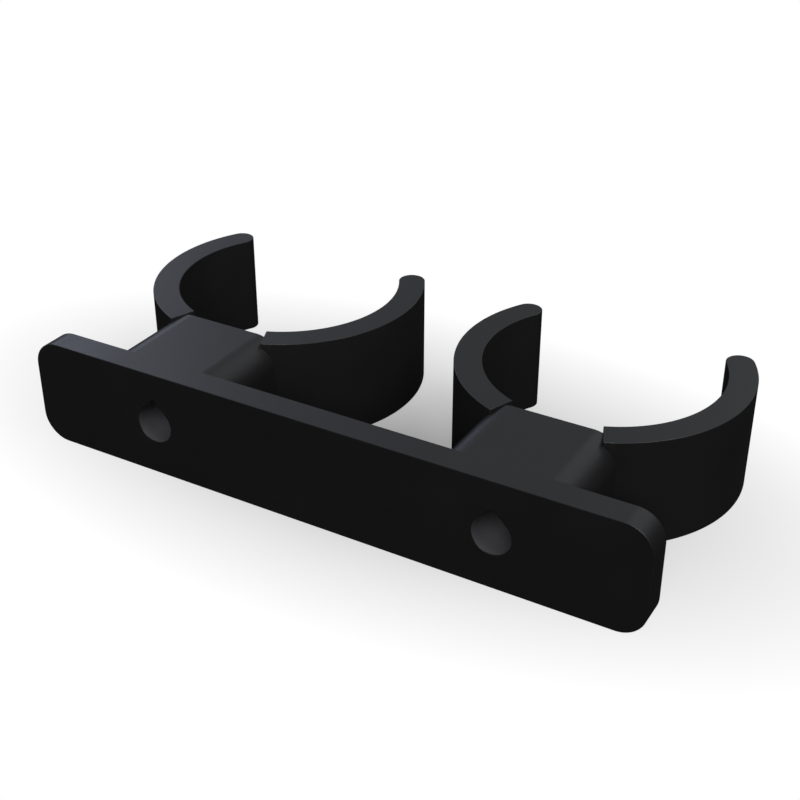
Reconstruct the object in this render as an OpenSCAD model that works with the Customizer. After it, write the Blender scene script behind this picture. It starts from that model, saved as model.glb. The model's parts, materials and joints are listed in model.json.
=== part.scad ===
// Double pipe bracket: a flat wall plate with two stand-off blocks, each of which ends in an
// open spring clip. One moulded piece. The pipes run along Z and snap in through the mouths,
// which face +Y. The origin is the middle of the plate's outer face, which lies on the wall.

/* [Pipes] */
// Bore of each clip, which is the outer diameter of its pipe
pipe_d = 25.4; // [14:0.1:60]
// Clear space between the two clips
clip_gap = 8; // [2:0.5:60]

/* [Clips] */
// Length of the whole bracket along the pipes
height = 12; // [10:0.5:40]
// Thickness of the clips' curved walls
clip_wall = 3; // [2:0.1:6]
// Opening of each mouth, as the angle between the centres of its round tips
mouth_angle = 118; // [60:1:160]

/* [Wall plate] */
// Thickness of the plate
plate_t = 3; // [2:0.1:8]
// Radius of the plate's four corners
plate_r = 3; // [0.5:0.1:5]

/* [Stand-off blocks] */
// Distance from the wall to the nearest line on the clips' outer walls
stand_off = 10; // [6:0.5:60]
// Width of each block
block_w = 14.6; // [12:0.1:20]
// Radius of the blocks' long edges
block_r = 3; // [0.5:0.1:5]
// How far the ends of a clip's wall reach in past the sides of its block
wall_bite = 1.3; // [0.8:0.1:2.4]

/* [Screw holes] */
// Bore of the screw holes
screw_d = 4.2; // [2.5:0.1:6]
// Diameter of the countersink for a screw's head, in each clip's flat seat
head_d = 8; // [6:0.1:9]
// Cone angle of the countersink
head_angle = 90; // [60:5:120]

/* [Hidden] */
$fn = 128;

// Cuts run this far past the faces that they open
over = 1;
// A rounded corner takes up at most this share of the side that it is on
round_share = 0.48;

clip_ri = pipe_d / 2;
clip_ro = clip_ri + clip_wall;
clip_rm = clip_ri + clip_wall / 2;
pitch = 2 * clip_ro + clip_gap;

// The plate ends level with the clips' outer sides
plate_l = pitch + 2 * clip_ro;

// Centre line of the clips, and the flat seats that the pipes touch
clip_y = stand_off + clip_ro;
seat_y = clip_y - clip_ri;

// Each arm of a clip runs from its block round to the mouth
seat_half = asin((block_w / 2 - wall_bite) / clip_ro);
arm_angle = 180 - seat_half - mouth_angle / 2;

head_depth = (head_d - screw_d) / 2 / tan(head_angle / 2);

// Rectangle with rounded corners, about the origin
module rounded_rect(w, h, r) {
    cr = min(r, w * round_share, h * round_share);
    square([w - 2 * cr, h], center = true);
    square([w, h - 2 * cr], center = true);
    for (x = [-1, 1], y = [-1, 1])
        translate([x * (w / 2 - cr), y * (h / 2 - cr)])
            circle(r = cr);
}

// Round hole with a 45 degree roof, which prints without support
module teardrop(d) {
    circle(d = d);
    rotate(45)
        square(d / 2);
}

// Stands an outline up in the XZ plane and gives it a depth from y0 to y1
module upright(y0, y1) {
    translate([0, y1, 0])
        rotate([90, 0, 0])
            linear_extrude(y1 - y0)
                children();
}

// Flat plate that lies on the wall
module wall_plate() {
    upright(0, plate_t)
        rounded_rect(plate_l, height, plate_r);
}

// Block between the plate and a clip, whose far end is the pipe's flat seat
module stand_off_block() {
    upright(plate_t / 2, seat_y)
        rounded_rect(block_w, height, block_r);
}

// One arm of a clip, in the +X half: an arc of wall that runs from a round tip back to the block
module clip_arm() {
    translate([0, clip_y, -height / 2])
        rotate([0, 0, 90 - mouth_angle / 2])
            mirror([0, 1, 0]) {
                rotate_extrude(angle = arm_angle)
                    translate([clip_ri, 0])
                        square([clip_wall, height]);
                translate([clip_rm, 0])
                    cylinder(d = clip_wall, h = height);
            }
}

// Screw hole through plate and block, with a countersink in the seat
module screw_hole() {
    upright(-over, seat_y + over)
        teardrop(screw_d);
    translate([0, seat_y, 0])
        rotate([90, 0, 0])
            cylinder(d1 = head_d, d2 = screw_d, h = head_depth);
}

// Block and clip for one pipe
module pipe_clip() {
    stand_off_block();
    clip_arm();
    mirror([1, 0, 0])
        clip_arm();
}

module bracket() {
    color([0.08, 0.08, 0.085])
        difference() {
            union() {
                wall_plate();
                for (side = [-1, 1])
                    translate([side * pitch / 2, 0, 0])
                        pipe_clip();
            }
            for (side = [-1, 1])
                translate([side * pitch / 2, 0, 0])
                    screw_hole();
        }
}

bracket();
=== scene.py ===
"""Looks of the double pipe bracket: one moulded piece of black nylon, lying in a small white studio."""

import json
import logging
import math
from abc import ABC, abstractmethod
from dataclasses import dataclass
from enum import Enum
from typing import ClassVar

import bmesh
import bpy
from mathutils import Matrix, Vector


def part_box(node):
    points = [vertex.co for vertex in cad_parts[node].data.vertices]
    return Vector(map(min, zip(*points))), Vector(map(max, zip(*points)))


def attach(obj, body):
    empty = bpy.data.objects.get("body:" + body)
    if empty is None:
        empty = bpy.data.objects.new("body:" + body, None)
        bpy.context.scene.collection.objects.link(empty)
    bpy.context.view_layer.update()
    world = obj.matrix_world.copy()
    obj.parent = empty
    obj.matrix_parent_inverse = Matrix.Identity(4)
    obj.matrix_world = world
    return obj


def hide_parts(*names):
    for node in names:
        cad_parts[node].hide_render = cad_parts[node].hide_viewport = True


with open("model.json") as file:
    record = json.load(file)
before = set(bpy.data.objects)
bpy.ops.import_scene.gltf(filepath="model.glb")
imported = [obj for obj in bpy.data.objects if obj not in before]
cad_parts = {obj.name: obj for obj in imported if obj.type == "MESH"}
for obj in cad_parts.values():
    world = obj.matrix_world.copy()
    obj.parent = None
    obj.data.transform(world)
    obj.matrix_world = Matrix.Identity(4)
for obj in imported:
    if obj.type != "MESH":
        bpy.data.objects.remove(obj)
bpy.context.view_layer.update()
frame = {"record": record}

LOG = logging.getLogger("bracket")

# A millimetre in metres. The bracket is modelled in millimetres and turned to metres once it is whole
MM = 0.001

# A Mix node's two colour inputs and its colour output, whose names its other sockets bear too
MIX_A, MIX_B, MIX_RESULT = 6, 7, 2


class Side(Enum):
    """The two mirrored halves of the bracket, and the two arms of a clip, by their sign along X."""

    LEFT = -1
    RIGHT = 1


class Finish(Enum):
    """The bracket's two surfaces."""

    SKIN = "moulded"
    # The bores' finish is painted light: it is greyer than the skin's black
    BORE = "cored"


def linear(hex_colour: str) -> tuple[float, float, float, float]:
    """Turns an sRGB colour to the linear one that the shaders take, by the curve of the sRGB standard.

    Args:
        hex_colour: the colour as #rrggbb.

    Returns:
        Linear red, green and blue, with an alpha of 1.
    """
    shares = (int(hex_colour[i : i + 2], 16) / 255 for i in (1, 3, 5))
    return (*(s / 12.92 if s <= 0.04045 else ((s + 0.055) / 1.055) ** 2.4 for s in shares), 1.0)


def add_node(
    tree: bpy.types.NodeTree,
    kind: str,
    settings: dict[str, object] | None = None,
    inputs: dict[str | int, object] | None = None,
) -> bpy.types.Node:
    """Adds a node with its settings and links.

    Args:
        tree: the node tree that gets the node.
        kind: the node's type, such as ShaderNodeTexNoise.
        settings: the node's own properties.
        inputs: for an input's name or number, its value or the socket that feeds it.

    Returns:
        The new node.
    """
    node = tree.nodes.new(kind)
    for name, value in (settings or {}).items():
        setattr(node, name, value)
    for name, value in (inputs or {}).items():
        if isinstance(value, bpy.types.NodeSocket):
            tree.links.new(value, node.inputs[name])
        else:
            node.inputs[name].default_value = value
    return node


def clear_tree(owner: bpy.types.Material | bpy.types.World) -> bpy.types.NodeTree:
    """Empties the node tree of a material or world.

    Args:
        owner: the material or world.

    Returns:
        Its node tree, without a node.
    """
    owner.use_nodes = True
    owner.node_tree.nodes.clear()
    return owner.node_tree


def link_object(name: str, data: bpy.types.ID) -> bpy.types.Object:
    """Makes an object of that data, at the origin, and puts it in the scene.

    Args:
        name: the object's name.
        data: its mesh, lamp or camera.

    Returns:
        The new object.
    """
    made = bpy.data.objects.new(name, data)
    bpy.context.scene.collection.objects.link(made)
    return made


def mesh_object(name: str, bm: bmesh.types.BMesh) -> bpy.types.Object:
    """Turns a finished bmesh into an object at the origin, and frees the bmesh.

    Args:
        name: the object's name, and its mesh's.
        bm: the shape.

    Returns:
        The new object.
    """
    mesh = bpy.data.meshes.new(name)
    bm.to_mesh(mesh)
    bm.free()
    return link_object(name, mesh)


@dataclass(frozen=True)
class BracketSizes:
    """Sizes that the bracket's sub-assemblies share, in millimetres and radians.

    The frame gives the outer box, the pipes and the screws. The walls and radii are the bracket's own.
    """

    length: float
    height: float
    # The pipes: their radius, their axes' distance from the wall, and the distance between the two axes
    bore_r: float
    clip_y: float
    pitch: float
    screw_r: float
    plate_t: float = 3.0
    plate_r: float = 3.0
    clip_wall: float = 3.0
    # Opening of each mouth, between the centres of its round tips
    mouth_angle: float = math.radians(118)
    block_w: float = 14.6
    block_r: float = 3.0
    # How far the foot of a clip's wall reaches in past the side of its block
    wall_bite: float = 1.3
    # The countersink of each screw hole: its radius at the seat, and its cone's whole angle
    head_r: float = 4.0
    head_angle: float = math.radians(90)

    @classmethod
    def from_frame(cls, record: dict, low: Vector, high: Vector) -> "BracketSizes":
        """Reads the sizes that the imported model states.

        Args:
            record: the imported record, with its mounts.
            low: the lowest corner of the bracket, in metres.
            high: its highest corner.

        Returns:
            The sizes, with the bracket's own walls and radii.
        """
        mounts = {mount["name"]: mount for mount in record["mounts"]}
        clip = mounts["right_clip"]
        screws = mounts["screw_holes"]
        return cls(
            length=(high.x - low.x) / MM,
            height=(high.z - low.z) / MM,
            bore_r=clip["dims"]["r_mm"],
            clip_y=clip["pos_m"][1] / MM,
            pitch=2 * clip["pos_m"][0] / MM,
            screw_r=screws["dims"]["hole_r_mm"],
        )

    @property
    def seat_y(self) -> float:
        """Distance from the wall to the flat seats that the pipes touch."""
        return self.clip_y - self.bore_r

    @property
    def outer_r(self) -> float:
        """Radius of the clips' outer walls."""
        return self.bore_r + self.clip_wall


@dataclass(frozen=True)
class Solid(ABC):
    """A closed solid that the bracket is fused from or cut with."""

    finish: ClassVar[Finish] = Finish.SKIN

    sizes: BracketSizes

    @abstractmethod
    def shape(self, bm: bmesh.types.BMesh) -> None:
        """Models the solid in an empty bmesh, in millimetres."""

    def build(self, finishes: dict[Finish, bpy.types.Material]) -> bpy.types.Object:
        """Makes the solid as an object of its own, with its faces pointing out.

        Args:
            finishes: the material of each finish.

        Returns:
            The object, which the bracket takes up later.
        """
        bm = bmesh.new()
        self.shape(bm)
        bmesh.ops.recalc_face_normals(bm, faces=bm.faces)
        made = mesh_object(type(self).__name__, bm)
        made.data.materials.append(finishes[self.finish])
        return made

    @staticmethod
    def rounded_bar(bm: bmesh.types.BMesh, low: Vector, high: Vector, radius: float, steps: int) -> None:
        """Makes a bar whose four edges along Y are rounded.

        Args:
            bm: the bmesh that gets the bar.
            low: its lowest corner.
            high: its highest corner.
            radius: the radius of its rounded edges.
            steps: the flats that each rounding is made of.
        """
        place = Matrix.Translation((low + high) / 2) @ Matrix.Diagonal((*(high - low), 1))
        bmesh.ops.create_cube(bm, size=1, matrix=place)
        along_y = [e for e in bm.edges if abs((e.verts[1].co - e.verts[0].co).y) > (high - low).y / 2]
        bmesh.ops.bevel(
            bm, geom=along_y, affect="EDGES", offset=radius, segments=steps, profile=0.5, material=-1
        )

    @staticmethod
    def fill_and_extrude(bm: bmesh.types.BMesh, way: Vector) -> None:
        """Closes the outline in a bmesh with a face, and extrudes it to a solid.

        Args:
            bm: the bmesh that holds one closed outline.
            way: the direction and length of the extrusion.
        """
        base = bmesh.ops.contextual_create(bm, geom=bm.edges[:])["faces"]
        grown = bmesh.ops.extrude_face_region(bm, geom=base, use_keep_orig=True)["geom"]
        bmesh.ops.translate(bm, vec=way, verts=[v for v in grown if isinstance(v, bmesh.types.BMVert)])

    @staticmethod
    def trace_arc(
        bm: bmesh.types.BMesh,
        start: bmesh.types.BMVert,
        centre: Vector,
        axis: Vector,
        angle: float,
        steps: int,
    ) -> bmesh.types.BMVert:
        """Spins a point about an axis, which leaves an arc of edges.

        Args:
            bm: the bmesh of the outline.
            start: the point that the arc starts from.
            centre: a point on the axis.
            axis: the axis's direction.
            angle: how far the arc turns about it.
            steps: how many edges it has.

        Returns:
            The point at the arc's end.
        """
        spun = bmesh.ops.spin(bm, geom=[start], cent=centre, axis=axis, angle=angle, steps=steps)
        return next(g for g in spun["geom_last"] if isinstance(g, bmesh.types.BMVert))


@dataclass(frozen=True)
class WallPlate(Solid):
    """The flat plate that lies on the wall, with four round corners."""

    corner_steps: int = 24

    def shape(self, bm: bmesh.types.BMesh) -> None:
        """Models the plate from its outer face at y = 0.

        Args:
            bm: the empty bmesh that gets the plate.
        """
        s = self.sizes
        corner = Vector((s.length / 2, 0, s.height / 2))
        self.rounded_bar(bm, -corner, corner + Vector((0, s.plate_t, 0)), s.plate_r, self.corner_steps)


@dataclass(frozen=True)
class StandOffBlock(Solid):
    """The block that carries a clip off the plate. Its far end is the flat seat under the pipe."""

    side: Side
    edge_steps: int = 24

    def shape(self, bm: bmesh.types.BMesh) -> None:
        """Models the block from the middle of the plate's wall, so that the two fuse.

        Args:
            bm: the empty bmesh that gets the block.
        """
        s = self.sizes
        middle = self.side.value * s.pitch / 2
        low = Vector((middle - s.block_w / 2, s.plate_t / 2, -s.height / 2))
        high = Vector((middle + s.block_w / 2, s.seat_y, s.height / 2))
        self.rounded_bar(bm, low, high, s.block_r, self.edge_steps)


@dataclass(frozen=True)
class ClipArm(Solid):
    """One springy arm of a clip: an arc of wall from a radial foot in the block to a round tip."""

    clip: Side
    arm: Side
    wall_steps: int = 110
    tip_steps: int = 24

    def shape(self, bm: bmesh.types.BMesh) -> None:
        """Traces the arm's outline from above, outer wall, tip and inner wall, and extrudes it.

        Args:
            bm: the empty bmesh that gets the arm.
        """
        s = self.sizes
        foot = math.asin((s.block_w / 2 - s.wall_bite) / s.outer_r) - math.pi / 2
        tip = math.pi / 2 - s.mouth_angle / 2
        up = Vector((0, 0, 1))
        middle = Vector((0, s.clip_y, -s.height / 2))
        tip_middle = middle + Vector((math.cos(tip), math.sin(tip), 0)) * (s.bore_r + s.clip_wall / 2)
        first = bm.verts.new(middle + Vector((math.cos(foot), math.sin(foot), 0)) * s.outer_r)
        last = first
        turns = (
            (middle, tip - foot, self.wall_steps),
            (tip_middle, math.pi, self.tip_steps),
            (middle, foot - tip, self.wall_steps),
        )
        for centre, angle, steps in turns:
            last = self.trace_arc(bm, last, centre, up, angle, steps)
        bm.edges.new((last, first))
        self.fill_and_extrude(bm, Vector((0, 0, s.height)))
        bmesh.ops.scale(bm, vec=(self.arm.value, 1, 1), verts=bm.verts)
        bmesh.ops.translate(bm, vec=(self.clip.value * s.pitch / 2, 0, 0), verts=bm.verts)


@dataclass(frozen=True)
class ScrewBore(Solid):
    """A screw hole's bore, round below, with a pointed roof of two flats that touch the round."""

    finish: ClassVar[Finish] = Finish.BORE

    side: Side
    # How steep each flat of the roof is
    roof_angle: float = math.radians(45)
    steps: int = 108
    # How far the cutter runs past the faces that it opens
    over: float = 1.0

    def shape(self, bm: bmesh.types.BMesh) -> None:
        """Traces the bore from one foot of its roof round to the other, and closes it at the ridge.

        Args:
            bm: the empty bmesh that gets the bore.
        """
        s = self.sizes
        middle = Vector((self.side.value * s.pitch / 2, -self.over, 0))
        foot = Vector((math.sin(self.roof_angle), 0, math.cos(self.roof_angle))) * s.screw_r
        first = bm.verts.new(middle + foot)
        turn = 2 * (math.pi - self.roof_angle)
        last = self.trace_arc(bm, first, middle, Vector((0, 1, 0)), turn, self.steps)
        ridge = bm.verts.new(middle + Vector((0, 0, s.screw_r / math.cos(self.roof_angle))))
        bm.edges.new((last, ridge))
        bm.edges.new((ridge, first))
        self.fill_and_extrude(bm, Vector((0, s.seat_y + 2 * self.over, 0)))


@dataclass(frozen=True)
class Countersink(Solid):
    """The cone in a clip's seat that takes a screw's head."""

    side: Side
    steps: int = 96
    # How far the cutter runs past the seat
    over: float = 0.3

    def shape(self, bm: bmesh.types.BMesh) -> None:
        """Models the cone from the bore to just past the seat.

        Args:
            bm: the empty bmesh that gets the cone.
        """
        s = self.sizes
        slope = math.tan(s.head_angle / 2)
        depth = (s.head_r - s.screw_r) / slope
        middle = Vector((self.side.value * s.pitch / 2, s.seat_y + (self.over - depth) / 2, 0))
        bmesh.ops.create_cone(
            bm,
            cap_ends=True,
            segments=self.steps,
            radius1=s.screw_r,
            radius2=s.head_r + self.over * slope,
            depth=depth + self.over,
            matrix=Matrix.Translation(middle) @ Matrix.Rotation(-math.pi / 2, 4, "X"),
        )


@dataclass(frozen=True)
class MouldedNylon:
    """Black nylon 6, injection moulded in a finely spark-eroded cavity.

    The cavity leaves a satin skin: a deep, even black with a soft, wide sheen on what faces the light,
    and no sharp reflection. The skin is a shade smoother in some places than in others.
    """

    colour: str = "#161617"
    paler: str = "#1b1b1c"
    # The tops of the grain scatter light and its pits trap it, so it mirrors less than flat nylon
    specular: float = 0.3
    ior: float = 1.53
    satin: float = 0.33
    matt: float = 0.40
    # Real grain is 0.05 to 0.1 mm across. It is drawn at 0.2 mm, two pixels of the render, to show at all
    grain_mm: float = 0.2
    grain_depth_mm: float = 0.0025
    # The skin's patches, where the melt froze a little sooner or later
    patch_mm: float = 9.0
    patch_detail: float = 3.0
    patch_roughness: float = 0.55
    # The patches' noise is satin up to the first share and matt from the second
    patch_shares: tuple[float, float] = (0.3, 0.7)

    def material(self) -> bpy.types.Material:
        """Makes the material.

        Returns:
            A procedural material on Object coordinates.
        """
        made = bpy.data.materials.new("black_moulded_nylon")
        tree = clear_tree(made)
        place = add_node(tree, "ShaderNodeTexCoord").outputs["Object"]
        patches = add_node(
            tree,
            "ShaderNodeTexNoise",
            inputs={
                "Vector": place,
                "Scale": 1 / (self.patch_mm * MM),
                "Detail": self.patch_detail,
                "Roughness": self.patch_roughness,
            },
        ).outputs["Fac"]
        grain = add_node(
            tree, "ShaderNodeTexNoise", inputs={"Vector": place, "Scale": 1 / (self.grain_mm * MM)}
        ).outputs["Fac"]
        colour = add_node(
            tree,
            "ShaderNodeMix",
            {"data_type": "RGBA"},
            {"Factor": patches, MIX_A: linear(self.colour), MIX_B: linear(self.paler)},
        )
        satin_up_to, matt_from = self.patch_shares
        gloss = add_node(
            tree,
            "ShaderNodeMapRange",
            inputs={
                "Value": patches,
                "From Min": satin_up_to,
                "From Max": matt_from,
                "To Min": self.satin,
                "To Max": self.matt,
            },
        )
        bump = add_node(
            tree,
            "ShaderNodeBump",
            inputs={"Height": grain, "Strength": 1.0, "Distance": self.grain_depth_mm * MM},
        )
        skin = add_node(
            tree,
            "ShaderNodeBsdfPrincipled",
            inputs={
                "Base Color": colour.outputs[MIX_RESULT],
                "Roughness": gloss.outputs["Result"],
                "IOR": self.ior,
                "Specular IOR Level": self.specular,
                "Normal": bump.outputs["Normal"],
            },
        )
        add_node(tree, "ShaderNodeOutputMaterial", inputs={"Surface": skin.outputs["BSDF"]})
        return made


@dataclass(frozen=True)
class PaintedLightBoreNylon:
    """The same nylon in the screw holes, where the mould's core pins were drawn out along the bores.

    A pin is ground smooth, so it leaves no grain, but it scuffs the wall as it draws, which leaves it
    duller than the skin, with faint marks along the bore. The wall's greyer colour is painted light, which
    lightens walls that their own shade darkens.
    """

    # Painted light: this grey, paler than the skin, lightens the bore walls that their own shade would
    # darken
    colour: str = "#464649"
    roughness: float = 0.55
    ior: float = 1.53
    # Real marks are about 0.05 mm wide. They are drawn at 0.2 mm, as the skin's grain is
    mark_mm: float = 0.2
    mark_depth_mm: float = 0.004
    # A mark's length in its own widths
    mark_length: float = 25.0

    def material(self) -> bpy.types.Material:
        """Makes the material.

        Returns:
            A procedural material on Object coordinates.
        """
        # The bores' paler colour is painted light
        made = bpy.data.materials.new("black_nylon_painted_light_bore")
        tree = clear_tree(made)
        place = add_node(tree, "ShaderNodeTexCoord").outputs["Object"]
        across = 1 / (self.mark_mm * MM)
        drawn = add_node(
            tree,
            "ShaderNodeMapping",
            inputs={"Vector": place, "Scale": (across, across / self.mark_length, across)},
        ).outputs["Vector"]
        marks = add_node(tree, "ShaderNodeTexNoise", inputs={"Vector": drawn, "Scale": 1.0}).outputs["Fac"]
        bump = add_node(
            tree,
            "ShaderNodeBump",
            inputs={"Height": marks, "Strength": 1.0, "Distance": self.mark_depth_mm * MM},
        )
        wall = add_node(
            tree,
            "ShaderNodeBsdfPrincipled",
            inputs={
                "Base Color": linear(self.colour),
                "Roughness": self.roughness,
                "IOR": self.ior,
                "Normal": bump.outputs["Normal"],
            },
        )
        add_node(tree, "ShaderNodeOutputMaterial", inputs={"Surface": wall.outputs["BSDF"]})
        return made


@dataclass(frozen=True)
class DoublePipeBracket:
    """The whole bracket: plate, blocks and clips, fused to one piece with two screw holes."""

    sizes: BracketSizes
    skin: MouldedNylon
    bores: PaintedLightBoreNylon
    # A moulded edge is never quite sharp
    edge_r: float = 0.08
    edge_steps: int = 3
    sharp_angle: float = math.radians(25)
    # What still turns by more than this is an inner corner, and is shaded as one
    crease_angle: float = math.radians(40)
    # Faces that meet at less than this are one flat
    flat_angle: float = math.radians(0.02)
    # Points nearer than this are one
    weld: float = 0.002
    # At 50 all faces count the same. At 100 the large ones set the shading where they meet small ones
    face_weight: int = 100

    def solids(self) -> list[Solid]:
        """Lists what the piece is fused from.

        Returns:
            The plate, and after it the blocks and the clips' arms.
        """
        blocks = [StandOffBlock(self.sizes, side) for side in Side]
        arms = [ClipArm(self.sizes, clip, arm) for clip in Side for arm in Side]
        return [WallPlate(self.sizes), *blocks, *arms]

    def cuts(self) -> list[Solid]:
        """Lists what is cut out of it for the screws."""
        return [cut(self.sizes, side) for side in Side for cut in (ScrewBore, Countersink)]

    def build(self) -> bpy.types.Object:
        """Fuses, cuts, softens and dresses the bracket.

        Returns:
            The finished piece, which stands for the CAD's solid.
        """
        finishes = {Finish.SKIN: self.skin.material(), Finish.BORE: self.bores.material()}
        bm = self.fuse(finishes)
        self.soften(bm)
        bmesh.ops.scale(bm, vec=(MM, MM, MM), verts=bm.verts)
        piece = mesh_object("moulded_bracket", bm)
        # The faces already name the skin as 0 and the bores' finish as 1, as their solids brought them
        for finish in finishes.values():
            piece.data.materials.append(finish)
        self.shade(piece)
        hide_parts("bracket")
        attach(piece, "root")
        return piece

    def fuse(self, finishes: dict[Finish, bpy.types.Material]) -> bmesh.types.BMesh:
        """Builds the solids, fuses them to one and cuts the screw holes.

        Args:
            finishes: the material of each finish.

        Returns:
            The fused mesh, in millimetres.
        """
        plate, *others = [solid.build(finishes) for solid in self.solids()]
        self.combine(plate, others, "UNION")
        self.combine(plate, [cut.build(finishes) for cut in self.cuts()], "DIFFERENCE")
        bm = self.in_order(plate.data)
        bpy.data.objects.remove(plate)
        return bm

    @staticmethod
    def in_order(mesh: bpy.types.Mesh) -> bmesh.types.BMesh:
        """Lists a mesh's points and faces by their places, because the Boolean's order is new in each run.

        Args:
            mesh: the fused mesh.

        Returns:
            The same mesh, so that all later steps give the same result each run.
        """
        spots = sorted(mesh.vertices, key=lambda vertex: tuple(vertex.co))
        rank = {vertex.index: place for place, vertex in enumerate(spots)}
        rings = []
        for face in mesh.polygons:
            ring = [rank[index] for index in face.vertices]
            first = ring.index(max(ring))
            rings.append((ring[first:] + ring[:first], face.material_index))
        bm = bmesh.new()
        verts = [bm.verts.new(vertex.co) for vertex in spots]
        for ring, finish in sorted(rings):
            bm.faces.new([verts[place] for place in ring]).material_index = finish
        return bm

    @staticmethod
    def combine(target: bpy.types.Object, others: list[bpy.types.Object], operation: str) -> None:
        """Fuses solids to the target or cuts them out of it, and removes them.

        Args:
            target: the object whose mesh is changed.
            others: the solids.
            operation: UNION or DIFFERENCE.
        """
        group = bpy.data.collections.new(operation.lower())
        for other in others:
            group.objects.link(other)
        modifier = target.modifiers.new(operation.lower(), "BOOLEAN")
        modifier.operation = operation
        modifier.operand_type = "COLLECTION"
        modifier.collection = group
        modifier.solver = "EXACT"
        # A cut wall takes the cutter's finish
        modifier.material_mode = "TRANSFER"
        graph = bpy.context.evaluated_depsgraph_get()
        merged = bpy.data.meshes.new_from_object(target.evaluated_get(graph))
        target.modifiers.clear()
        target.data = merged
        for other in others:
            bpy.data.objects.remove(other)
        bpy.data.collections.remove(group)

    def soften(self, bm: bmesh.types.BMesh) -> None:
        """Cleans the fused mesh and gives its outer edges the mould's small radius.

        Args:
            bm: the fused mesh, with its screw holes.
        """
        bmesh.ops.remove_doubles(bm, verts=bm.verts, dist=self.weld)
        bmesh.ops.dissolve_limit(bm, angle_limit=self.flat_angle, verts=bm.verts, edges=bm.edges)
        sharp = [e for e in bm.edges if e.is_convex and e.calc_face_angle() > self.sharp_angle]
        bmesh.ops.bevel(
            bm,
            geom=sharp,
            affect="EDGES",
            offset=self.edge_r,
            segments=self.edge_steps,
            profile=0.5,
            # The skin comes first in the list of finishes, and the holes' rims have it too
            material=0,
        )
        bmesh.ops.remove_doubles(bm, verts=bm.verts, dist=self.weld)
        bmesh.ops.recalc_face_normals(bm, faces=bm.faces)

    def shade(self, piece: bpy.types.Object) -> None:
        """Shades the round walls smoothly and the flats evenly, with the inner corners sharp.

        Args:
            piece: the finished bracket.
        """
        piece.data.shade_smooth()
        piece.data.set_sharp_from_angle(angle=self.crease_angle)
        flats = piece.modifiers.new("Even flats", "WEIGHTED_NORMAL")
        flats.weight = self.face_weight
        flats.keep_sharp = True


@dataclass(frozen=True)
class PhotoCamera:
    """The camera of the photograph, fitted to its edges: place in millimetres, angles in degrees."""

    place: tuple[float, float, float] = (64.900, -94.694, 75.708)
    turn: float = 30.099
    tilt: float = -30.326
    lens: float = 62.58
    # It sees nothing nearer than this
    near: float = 10.0

    def build(self) -> bpy.types.Object:
        """Makes the camera and hands it to the scene.

        Returns:
            The camera.
        """
        data = bpy.data.cameras.new("photo_camera")
        data.lens = self.lens
        data.clip_start = self.near * MM
        camera = link_object("photo_camera", data)
        camera.location = Vector(self.place) * MM
        camera.rotation_euler = (math.radians(90 + self.tilt), 0, math.radians(self.turn))
        bpy.context.scene.camera = camera
        return camera


@dataclass(frozen=True)
class SoftBox:
    """A square lamp that faces the bracket.

    Azimuth, from +Y towards +X, and elevation are in degrees, distance and width in metres. The level is
    how bright the lamp alone makes a white card that faces it where the bracket lies.
    """

    name: str
    azimuth: float
    elevation: float
    distance: float
    width: float
    level: float
    colour: str = "#ffffff"

    def build(self) -> bpy.types.Object:
        """Makes the lamp.

        Returns:
            The lamp, which the camera doesn't see.
        """
        data = bpy.data.lights.new(self.name, "AREA")
        data.shape = "SQUARE"
        data.size = self.width
        # A lamp of power P gives a white card at distance d the brightness P / (pi * d) ** 2
        data.energy = self.level * (math.pi * self.distance) ** 2
        data.color = linear(self.colour)[:3]
        lamp = link_object(self.name, data)
        flat = math.cos(math.radians(self.elevation))
        way = Vector(
            (
                math.sin(math.radians(self.azimuth)) * flat,
                math.cos(math.radians(self.azimuth)) * flat,
                math.sin(math.radians(self.elevation)),
            )
        )
        lamp.location = way * self.distance
        lamp.rotation_euler = way.to_track_quat("Z", "Y").to_euler()
        lamp.visible_camera = False
        return lamp


@dataclass(frozen=True)
class WhiteRoom:
    """The room: plain white where it is seen, and a dim, even fill for what it lights."""

    seen: str = "#ffffff"
    fill: float = 0.45
    # The plastic mirrors a grey room. It is black up to the first height above the floor and full from
    # the second, both as the sine of the angle
    mirrored: str = "#9da1a6"
    dark_below: float = 0.12
    full_above: float = 0.40

    def build(self) -> bpy.types.World:
        """Makes the world and hands it to the scene.

        Returns:
            The world.
        """
        world = bpy.data.worlds.new("white_room")
        bpy.context.scene.world = world
        tree = clear_tree(world)
        path = add_node(tree, "ShaderNodeLightPath").outputs
        straight = add_node(
            tree,
            "ShaderNodeMath",
            {"operation": "MAXIMUM"},
            {0: path["Is Camera Ray"], 1: path["Is Transmission Ray"]},
        ).outputs["Value"]
        fill = add_node(tree, "ShaderNodeBackground", inputs={"Strength": self.fill})
        way = add_node(tree, "ShaderNodeTexCoord").outputs["Generated"]
        height = add_node(tree, "ShaderNodeSeparateXYZ", inputs={0: way}).outputs["Z"]
        rise = add_node(
            tree,
            "ShaderNodeMapRange",
            {"interpolation_type": "SMOOTHSTEP"},
            {"Value": height, "From Min": self.dark_below, "From Max": self.full_above},
        ).outputs["Result"]
        mirrored = add_node(
            tree, "ShaderNodeBackground", inputs={"Color": linear(self.mirrored), "Strength": rise}
        )
        seen = add_node(tree, "ShaderNodeBackground", inputs={"Color": linear(self.seen)})
        lit = add_node(
            tree,
            "ShaderNodeMixShader",
            inputs={0: path["Is Glossy Ray"], 1: fill.outputs[0], 2: mirrored.outputs[0]},
        )
        whole = add_node(
            tree, "ShaderNodeMixShader", inputs={0: straight, 1: lit.outputs[0], 2: seen.outputs[0]}
        )
        add_node(tree, "ShaderNodeOutputWorld", inputs={"Surface": whole.outputs[0]})
        return world


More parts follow.
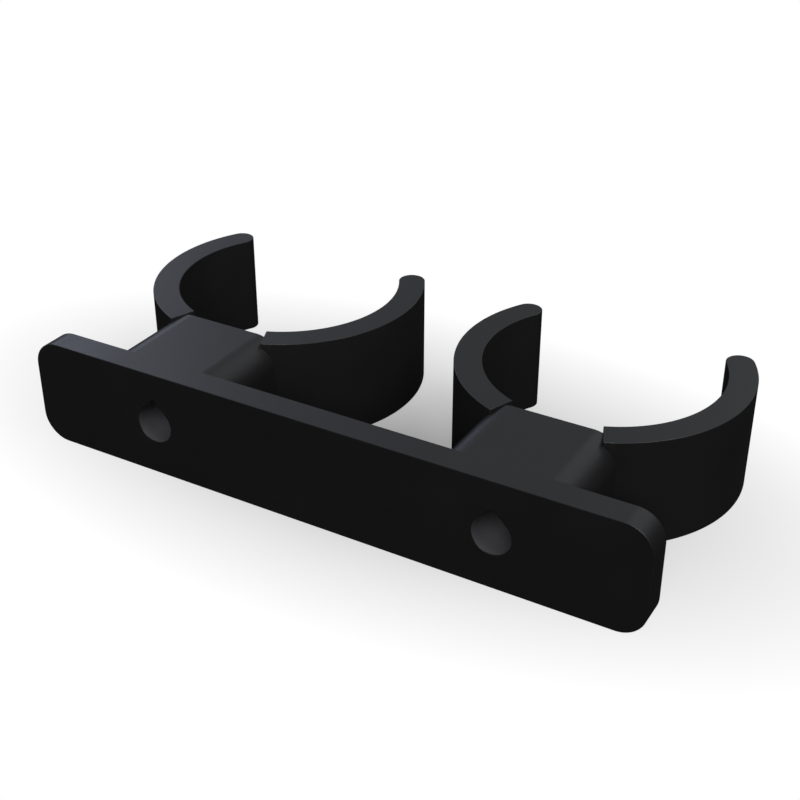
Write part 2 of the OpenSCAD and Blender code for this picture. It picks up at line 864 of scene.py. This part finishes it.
@dataclass(frozen=True)
class PaperFloor:
    """The pale floor under the bracket, which keeps its shadow and fades into the white room.

    Seen straight it is white paper with a soft oval pool of painted shade, as wide as the photograph's:
    inside it the paper is grey, and it fades evenly to white at the edge. In the plastic it shows dimly,
    as the room in the photograph does.
    """

    low_z: float
    radius: float = 2.0
    steps: int = 96
    # The floor lies this far under the bracket, so that the two never share a plane
    gap_mm: float = 0.02
    # The lamps light the paper's colour, and this grey is the pool's painted shade. Its glow comes on top,
    # which keeps their shadows faint
    paper: str = "#898989"
    glow: float = 0.16
    # For the plastic the paper is dark. What it mirrors has this share of the bright paper
    dim: str = "#101010"
    mirrored_share: float = 0.005
    # The painted shade's pool: its middle and half axes. The painted shade fades evenly from the middle to
    # the edge
    painted_shade_y_mm: float = 17.5
    painted_shade_half_mm: tuple[float, float] = (58.9, 31.2)

    def build(self) -> bpy.types.Object:
        """Makes the floor, just under the bracket.

        Returns:
            The floor, which is no part of the bracket.
        """
        bm = bmesh.new()
        drop = Matrix.Translation((0, 0, self.low_z - self.gap_mm * MM))
        bmesh.ops.create_circle(bm, cap_ends=True, segments=self.steps, radius=self.radius, matrix=drop)
        floor = mesh_object("paper_floor", bm)
        floor.data.materials.append(self.material())
        return floor

    def material(self) -> bpy.types.Material:
        """Makes the paper, which is bright for the camera, dark for the plastic and clear from below.

        Returns:
            The material.
        """
        made = bpy.data.materials.new("white_paper")
        tree = clear_tree(made)
        path = add_node(tree, "ShaderNodeLightPath").outputs
        mirrored = add_node(
            tree,
            "ShaderNodeMath",
            {"operation": "MULTIPLY"},
            {0: path["Is Glossy Ray"], 1: self.mirrored_share},
        ).outputs["Value"]
        straight = add_node(
            tree,
            "ShaderNodeMath",
            {"operation": "MAXIMUM"},
            {0: path["Is Camera Ray"], 1: path["Is Transmission Ray"]},
        ).outputs["Value"]
        shown = add_node(
            tree, "ShaderNodeMath", {"operation": "MAXIMUM"}, {0: straight, 1: mirrored}
        ).outputs["Value"]
        dim = add_node(tree, "ShaderNodeBsdfDiffuse", inputs={"Color": linear(self.dim)})
        top = add_node(
            tree, "ShaderNodeMixShader", inputs={0: shown, 1: dim.outputs[0], 2: self.paper_with_painted_shade(tree)}
        )
        under = add_node(tree, "ShaderNodeBsdfTransparent")
        back = add_node(tree, "ShaderNodeNewGeometry").outputs["Backfacing"]
        both = add_node(
            tree, "ShaderNodeMixShader", inputs={0: back, 1: top.outputs[0], 2: under.outputs[0]}
        )
        add_node(tree, "ShaderNodeOutputMaterial", inputs={"Surface": both.outputs[0]})
        return made

    def paper_with_painted_shade(self, tree: bpy.types.NodeTree) -> bpy.types.NodeSocket:
        """Adds the paper as the camera sees it: grey paper with painted shade in the pool, and plain white
        outside it.

        Args:
            tree: the material's node tree.

        Returns:
            The shader's output.
        """
        place = add_node(tree, "ShaderNodeTexCoord").outputs["Object"]
        half_x, half_y = self.painted_shade_half_mm
        oval = add_node(
            tree,
            "ShaderNodeMapping",
            inputs={
                "Vector": place,
                "Location": (0.0, -self.painted_shade_y_mm / half_y, 0.0),
                "Scale": (1 / (half_x * MM), 1 / (half_y * MM), 0.0),
            },
        ).outputs["Vector"]
        # Painted shade: grey lit paper in the middle, mixed evenly to white towards the pool's edge
        reach = add_node(tree, "ShaderNodeVectorMath", {"operation": "LENGTH"}, {0: oval}).outputs["Value"]
        far = add_node(tree, "ShaderNodeClamp", inputs={"Value": reach}).outputs["Result"]
        lit = add_node(tree, "ShaderNodeBsdfDiffuse", inputs={"Color": linear(self.paper)})
        glow = add_node(tree, "ShaderNodeEmission", inputs={"Strength": self.glow})
        near = add_node(tree, "ShaderNodeAddShader", inputs={0: lit.outputs[0], 1: glow.outputs[0]})
        white = add_node(tree, "ShaderNodeEmission", inputs={"Strength": 1.0})
        return add_node(
            tree, "ShaderNodeMixShader", inputs={0: far, 1: near.outputs[0], 2: white.outputs[0]}
        ).outputs[0]


@dataclass(frozen=True)
class Studio:
    """Camera, room, floor and lamps."""

    floor_z: float
    # The front and right lamps do most. The others draw the tops and rounded edges
    lamps: tuple[SoftBox, ...] = (
        SoftBox("overhead_softbox", azimuth=0, elevation=90, distance=0.6, width=0.70, level=0.06),
        SoftBox(
            "back_left_softbox",
            azimuth=-58,
            elevation=28,
            distance=0.6,
            width=0.25,
            level=0.108,
            colour="#dde6ff",
        ),
        SoftBox(
            "low_back_softbox",
            azimuth=-42,
            elevation=7,
            distance=0.6,
            width=0.16,
            level=0.014,
            colour="#dcdcff",
        ),
        SoftBox("back_right_softbox", azimuth=12, elevation=35, distance=0.6, width=0.40, level=0.06),
        SoftBox("right_softbox", azimuth=90, elevation=50, distance=0.8, width=0.40, level=0.40),
        SoftBox("front_softbox", azimuth=157, elevation=40, distance=0.8, width=0.40, level=0.61),
    )

    def build(self) -> None:
        """Sets the studio up round the bracket."""
        PhotoCamera().build()
        WhiteRoom().build()
        PaperFloor(self.floor_z).build()
        for lamp in self.lamps:
            lamp.build()
        bpy.context.scene.view_settings.view_transform = "Standard"


def main() -> None:
    """Builds the studio and the bracket, and reports each piece."""
    logging.basicConfig(level=logging.INFO, format="%(message)s")
    low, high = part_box("bracket")
    Studio(floor_z=low.z).build()
    sizes = BracketSizes.from_frame(frame["record"], low, high)
    piece = DoublePipeBracket(sizes, MouldedNylon(), PaintedLightBoreNylon()).build()
    LOG.info("%s: %d faces", piece.name, len(piece.data.polygons))


if __name__ == "__main__":
    main()
